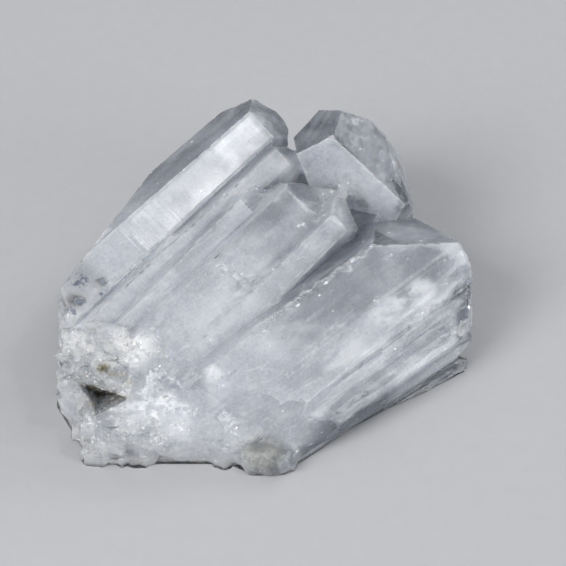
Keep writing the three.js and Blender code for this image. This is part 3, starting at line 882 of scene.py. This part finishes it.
def milky_quartz():
    """White, cloudy quartz that turns clearer at the tips, painted greyer there as shade, with fine growth
    lines.
    """
    s = Sheet("milky_quartz")
    rough, ridge, crease, glint = (s.attribute(name) for name in ("rough", "ridge", "crease", "glint"))
    chalk, void, dirt, silk, tone = (s.attribute(name) for name in ("chalk", "void", "dirt", "silk", "tone"))
    growth = s.attribute("growth", "Vector")
    place = s.object_place()

    clouds = s.noise(place, 110, 3, 0.55, 0.3)
    fine_clouds = s.noise(place, 420, 3, 0.6)
    mottle = s.noise(place, 900, 3, 0.7)
    streaks = s.noise(s.mapped(growth, (900, 900, 70)), 1.0, 3, 0.6)
    wisps = s.noise(s.mapped(growth, (300, 300, 55)), 1.0, 3, 0.6, 0.3)
    threads = s.noise(s.mapped(growth, (700, 700, 16)), 1.0, 2, 0.5)
    lines = s.noise(s.mapped(growth, (100, 100, 2600)), 1.0, 2, 0.65)
    grain = s.noise(place, 2400, 2, 0.65)
    puffs = s.noise(s.mapped(growth, (420, 420, 200)), 1.0, 3, 0.65, 0.4)
    haze = s.math("MULTIPLY", s.attribute("haze"), s.span(puffs, 0.37, 0.6))
    split = s.node("ShaderNodeSeparateXYZ")
    s.put(growth, split.inputs[0])

    polished = s.math("ADD", s.attribute("polished"), s.span(lines, 0.35, 0.65, -0.35, 0.35))
    polished = s.math("MULTIPLY", s.span(polished, 0.4, 0.6), s.attribute("face_mirror"))

    clear = s.math("ADD", s.attribute("face_clear"), s.span(clouds, 0.36, 0.64, 0.14, -0.16))
    clear = s.math("ADD", clear, s.span(wisps, 0.36, 0.66, 0.10, -0.12))
    clear = s.math("MULTIPLY", clear, s.span(split.outputs[2], 0.193, 0.224, 0.3, 1.0))
    clear = s.math("ADD", clear, s.attribute("clear"))
    solid = s.math("MAXIMUM", s.math("MULTIPLY", rough, 0.35), chalk)
    solid = s.math("MAXIMUM", solid, s.math("MULTIPLY", haze, 0.5))
    clear = s.math("SUBTRACT", clear, solid, clamp=True)

    milk = s.blend(s.span(fine_clouds, 0.35, 0.68), MILK_DARK, MILK_LIGHT)
    silky = s.math("ADD", s.math("MULTIPLY", silk, 0.35), 0.08)
    milk = s.blend(s.math("MULTIPLY", s.span(streaks, 0.5, 0.72), silky), milk, SILK_LIGHT)
    milk = s.blend(s.math("MULTIPLY", s.span(streaks, 0.46, 0.28), silky), milk, SILK_DARK)
    # Clearer quartz is painted greyer: painted shade standing in for the dark seen through it.
    colour = s.blend(clear, milk, CLEAR_SHADED_GREY)
    colour = s.blend(s.span(grain, 0.52, 0.68, 0, 0.4), colour, PALE_QUARTZ)
    colour = s.blend(s.span(grain, 0.46, 0.30, 0, 0.34), colour, FLECK_GREY)
    # Painted shade where the tone goes below 0; painted light, softened by the wisps, where it goes above.
    colour = s.blend(s.span(tone, 0.0, -1.0, 0.0, 0.75), colour, PAINTED_SHADE_GREY)
    painted_light = s.math("MULTIPLY", s.span(tone, 0.0, 1.0, 0.0, 0.9), s.span(wisps, 0.3, 0.6, 0.5, 1.0))
    colour = s.blend(painted_light, colour, PALE_QUARTZ)
    colour = s.blend(s.span(threads, 0.60, 0.67, 0.0, 0.4), colour, THREAD_WHITE)
    patchy = s.span(clouds, 0.5, 0.6)
    veil = s.math("MULTIPLY", s.veils(place, 110, 0.007, 0.2), patchy)
    colour = s.blend(s.math("MULTIPLY", veil, 0.35), colour, VEIL_WHITE)
    line = s.veils(s.mapped(growth, (330, 330, 38)), 1.0, 0.014, 0.2)
    line = s.math("MULTIPLY", line, s.span(mottle, 0.4, 0.6))
    colour = s.blend(s.math("MULTIPLY", line, 0.6), colour, VEIL_WHITE)
    colour = s.blend(s.math("MULTIPLY", haze, 0.85), colour, HAZE_WHITE)
    # Ridges whitened in patches: partly the white of worn, chipped edges, partly a painted highlight along
    # them.
    worn = s.math("MULTIPLY", ridge, s.span(puffs, 0.4, 0.6, 0.1, 0.9))
    colour = s.blend(worn, colour, WORN_AND_HIGHLIT_WHITE)
    stain = s.math("MULTIPLY", crease, s.span(clouds, 0.48, 0.62, 0.0, 0.35))
    stain = s.math("MULTIPLY", stain, s.math("SUBTRACT", 1.0, glint, clamp=True))
    colour = s.blend(stain, colour, STAIN)
    broken = s.blend(s.span(mottle, 0.4, 0.62), BROKEN_DARK, BROKEN_LIGHT)
    colour = s.blend(s.math("MULTIPLY", rough, 0.8), colour, broken)
    crust = s.math("MULTIPLY", chalk, s.span(mottle, 0.36, 0.52, 0.25, 1.0))
    colour = s.blend(crust, colour, CHALK_WHITE)

    # Painted glints: tiny white dots, thickest along the glinting chips and the ridges.
    dashes = s.cells(s.mapped(growth, (1100, 1100, 600)), 1.0)
    specks = s.span(s.math("SUBTRACT", dashes, s.math("MULTIPLY", glint, 0.13)), 0.17, 0.09)
    patches = s.span(fine_clouds, 0.56, 0.64)
    patches = s.math("MAXIMUM", patches, s.math("MULTIPLY", ridge, 0.5))
    patches = s.math("MAXIMUM", patches, glint)
    painted_glint = s.math("MULTIPLY", specks, patches)
    colour = s.blend(painted_glint, colour, WHITE)

    soil = s.math("MULTIPLY", dirt, s.span(mottle, 0.30, 0.50, 0.55, 1.0))
    earth = s.blend(s.span(clouds, 0.4, 0.6), EARTH_DARK, EARTH_LIGHT)
    earth = s.blend(s.span(mottle, 0.45, 0.7, 0, 0.7), earth, EARTH_PALE)
    colour = s.blend(soil, colour, earth)
    # Painted shade: the pits darkened to blue in ragged patches.
    ragged = s.span(s.math("ADD", void, s.span(mottle, 0.3, 0.7, -0.8, 0.8)), 0.5, 0.9, 0.0, 0.75)
    hollow = s.math("MULTIPLY", ragged, s.span(void, 0.0, 0.3))
    colour = s.blend(hollow, colour, HOLLOW_SHADE_BLUE)

    smooth = s.math("SUBTRACT", 1.0, rough)
    ruled = s.math("MULTIPLY", smooth, s.math("ADD", s.math("MULTIPLY", polished, 0.5), 0.25))
    normal = s.bump(s.math("MULTIPLY", lines, ruled), 0.00005, 0.5)
    wavy = s.math("MULTIPLY", s.math("SUBTRACT", 1.0, s.attribute("face_mirror")), smooth)
    silky = s.math("MULTIPLY", wavy, s.math("ADD", s.math("MULTIPLY", silk, 0.75), 0.25))
    normal = s.bump(s.math("MULTIPLY", streaks, silky), 0.00022, 0.5, normal)
    normal = s.bump(s.math("MULTIPLY", fine_clouds, wavy), 0.0003, 0.4, normal)
    normal = s.bump(grain, 0.00004, 0.3, normal)
    hackly = s.math("MAXIMUM", rough, s.math("MULTIPLY", glint, 0.8))
    normal = s.bump(s.math("MULTIPLY", s.facets(place, 1200), hackly), 1.0, 0.8, normal)

    shader = s.node("ShaderNodeBsdfPrincipled")
    s.put(colour, shader.inputs["Base Color"])
    through = s.span(clear, 0.0, 1.0, 0.3, 0.9)
    hidden = s.math("MAXIMUM", s.math("MAXIMUM", soil, painted_glint), crust)
    hidden = s.math("MAXIMUM", hidden, s.math("MULTIPLY", painted_light, 0.7))
    through = s.math("MULTIPLY", through, s.math("SUBTRACT", 1.0, hidden))
    s.put(through, shader.inputs["Transmission Weight"])
    roughness = s.span(clouds, 0.62, 0.4, 0.13, 0.2)
    roughness = s.math("ADD", roughness, s.span(grain, 0.3, 0.7, -0.01, 0.04))
    etched = s.math("SUBTRACT", s.attribute("face_mirror"), polished)
    etched = s.math("ADD", etched, s.attribute("face_etched"))
    roughness = s.math("ADD", roughness, s.math("MULTIPLY", etched, 0.2))
    roughness = s.math("SUBTRACT", roughness, s.math("MULTIPLY", hackly, 0.04))
    roughness = s.math("ADD", roughness, s.math("MULTIPLY", soil, 0.5))
    s.put(roughness, shader.inputs["Roughness"])
    s.put(normal, shader.inputs["Normal"])
    shader.inputs["IOR"].default_value = QUARTZ_INDEX
    shader.inputs["Subsurface Weight"].default_value = 1.0
    shader.inputs["Subsurface Radius"].default_value = SCATTER_BY_COLOUR
    shader.inputs["Subsurface Scale"].default_value = QUARTZ_SCATTER
    out = s.node("ShaderNodeOutputMaterial")
    s.tree.links.new(shader.outputs[0], out.inputs["Surface"])
    absorb = s.node("ShaderNodeVolumeAbsorption")
    absorb.inputs["Color"].default_value = ABSORPTION_COLOUR
    absorb.inputs["Density"].default_value = ABSORPTION_DENSITY
    s.tree.links.new(absorb.outputs[0], out.inputs["Volume"])
    return s.material


def quartz_chips():
    """White to clear broken quartz, earthy where the hollow is."""
    s = Sheet("quartz_chips")
    place = s.object_place()
    dirt = s.attribute("dirt")
    tone = s.noise(place, 700, 2, 0.5)
    colour = s.blend(s.span(tone, 0.35, 0.6), CHIP_DARK, CHIP_LIGHT)
    soil = s.math("MULTIPLY", dirt, s.span(s.noise(place, 1200, 3, 0.6), 0.3, 0.6, 0.5, 1.0))
    earth = s.blend(s.span(tone, 0.35, 0.65), CHIP_EARTH_DARK, CHIP_EARTH_LIGHT)
    shader = s.node("ShaderNodeBsdfPrincipled")
    s.put(s.blend(soil, colour, earth), shader.inputs["Base Color"])
    s.put(s.span(soil, 0.0, 1.0, 0.16, 0.8), shader.inputs["Roughness"])
    through = s.span(tone, 0.42, 0.3, 0.0, 0.4)
    s.put(s.math("MULTIPLY", through, s.math("SUBTRACT", 1.0, soil)), shader.inputs["Transmission Weight"])
    shader.inputs["IOR"].default_value = QUARTZ_INDEX
    shader.inputs["Subsurface Weight"].default_value = 1.0
    shader.inputs["Subsurface Radius"].default_value = SCATTER_BY_COLOUR
    shader.inputs["Subsurface Scale"].default_value = CHIP_SCATTER
    out = s.node("ShaderNodeOutputMaterial")
    s.tree.links.new(shader.outputs[0], out.inputs["Surface"])
    return s.material


def pale_floor():
    s = Sheet("pale_paper")
    speckle = s.noise(s.object_place(), 400, 4, 0.6)
    shader = s.node("ShaderNodeBsdfPrincipled")
    s.put(s.blend(speckle, PAPER_DARK, PAPER_LIGHT), shader.inputs["Base Color"])
    shader.inputs["Roughness"].default_value = 0.8
    out = s.node("ShaderNodeOutputMaterial")
    s.tree.links.new(shader.outputs[0], out.inputs["Surface"])
    return s.material


# ---- Floor, light and camera ----
FLOOR_HALF = 1.2
FLOOR_DROP = 0.00002  # just under the quartz, so the two never share a face
LAMP_AIM = (0, 0, 0.012)
LAMPS = [  # name, direction, distance, width, height, watts and colour
    ("window", (0.478, -0.098, 0.873), 1.2, 0.12, 0.12, 0.85, (1.0, 0.99, 0.97)),
    ("key", (-0.62, -0.48, 0.62), 0.8, 0.45, 0.45, 4.4, (0.98, 0.99, 1.0)),
    ("back", (0.75, 0.55, 0.55), 0.8, 0.4, 0.4, 1.6, (0.97, 0.985, 1.0)),
    ("side", (0.85, -0.5, 0.35), 0.8, 0.4, 0.3, 1.6, (0.98, 0.99, 1.0)),
]
ROOM_COLOUR, ROOM_STRENGTH = (0.87, 0.90, 0.94, 1), 0.42
EYE_AIM = (2.233, -2.466, 12.0)  # in millimetres
EYE_DISTANCE = 0.320
EYE_HEIGHT = math.radians(45)
SENSOR_WIDTH = 36.0
SEEN_WIDTH = 0.143 * 566  # in millimetres at the aim: the size of a pixel times the pixels across


def floor():
    half = FLOOR_HALF
    mesh = bpy.data.meshes.new("floor")
    corners = [(-half, -half, 0), (half, -half, 0), (half, half, 0), (-half, half, 0)]
    mesh.from_pydata(corners, [], [(0, 1, 2, 3)])
    mesh.materials.append(pale_floor())
    sheet = placed(mesh, "floor")
    sheet.location.z = -FLOOR_DROP


def softbox(name, towards, distance, width, height, watts, colour):
    light = bpy.data.lights.new(name, "AREA")
    light.shape = "RECTANGLE"
    light.size, light.size_y = width, height
    light.energy = watts
    light.color = colour
    lamp = bpy.data.objects.new(name, light)
    aim = Vector(LAMP_AIM)
    out = Vector(towards).normalized()
    lamp.location = aim + out * distance
    lamp.rotation_euler = out.to_track_quat("Z", "Y").to_euler()
    bpy.context.scene.collection.objects.link(lamp)


def lights():
    for lamp in LAMPS:
        softbox(*lamp)
    world = bpy.data.worlds.new("studio")
    world.use_nodes = True
    background = world.node_tree.nodes["Background"]
    background.inputs["Color"].default_value = ROOM_COLOUR
    background.inputs["Strength"].default_value = ROOM_STRENGTH
    bpy.context.scene.world = world


def camera():
    lens = bpy.data.cameras.new("camera")
    lens.sensor_width = SENSOR_WIDTH
    lens.lens = EYE_DISTANCE / MM / SEEN_WIDTH * SENSOR_WIDTH
    eye = bpy.data.objects.new("camera", lens)
    back = Vector((0, -math.cos(EYE_HEIGHT), math.sin(EYE_HEIGHT)))
    eye.location = Vector(EYE_AIM) * MM + back * EYE_DISTANCE
    eye.rotation_euler = (math.pi / 2 - EYE_HEIGHT, 0, 0)
    lens.clip_start, lens.clip_end = 0.01, 10
    bpy.context.scene.collection.objects.link(eye)
    bpy.context.scene.camera = eye


def dressed(piece, material, stands_for=None):
    piece.data.materials.clear()
    piece.data.materials.append(material)
    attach(piece, "root")
    if stands_for:
        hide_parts(stands_for)


quartz = quartz_surface()
chip_material = quartz_chips()
chips = root_chips(quartz, chip_material)
dressed(quartz, milky_quartz(), "quartz_cluster")
dressed(chips, chip_material)

floor()
lights()
camera()
bpy.context.scene.view_settings.view_transform = "Standard"
bpy.context.view_layer.update()
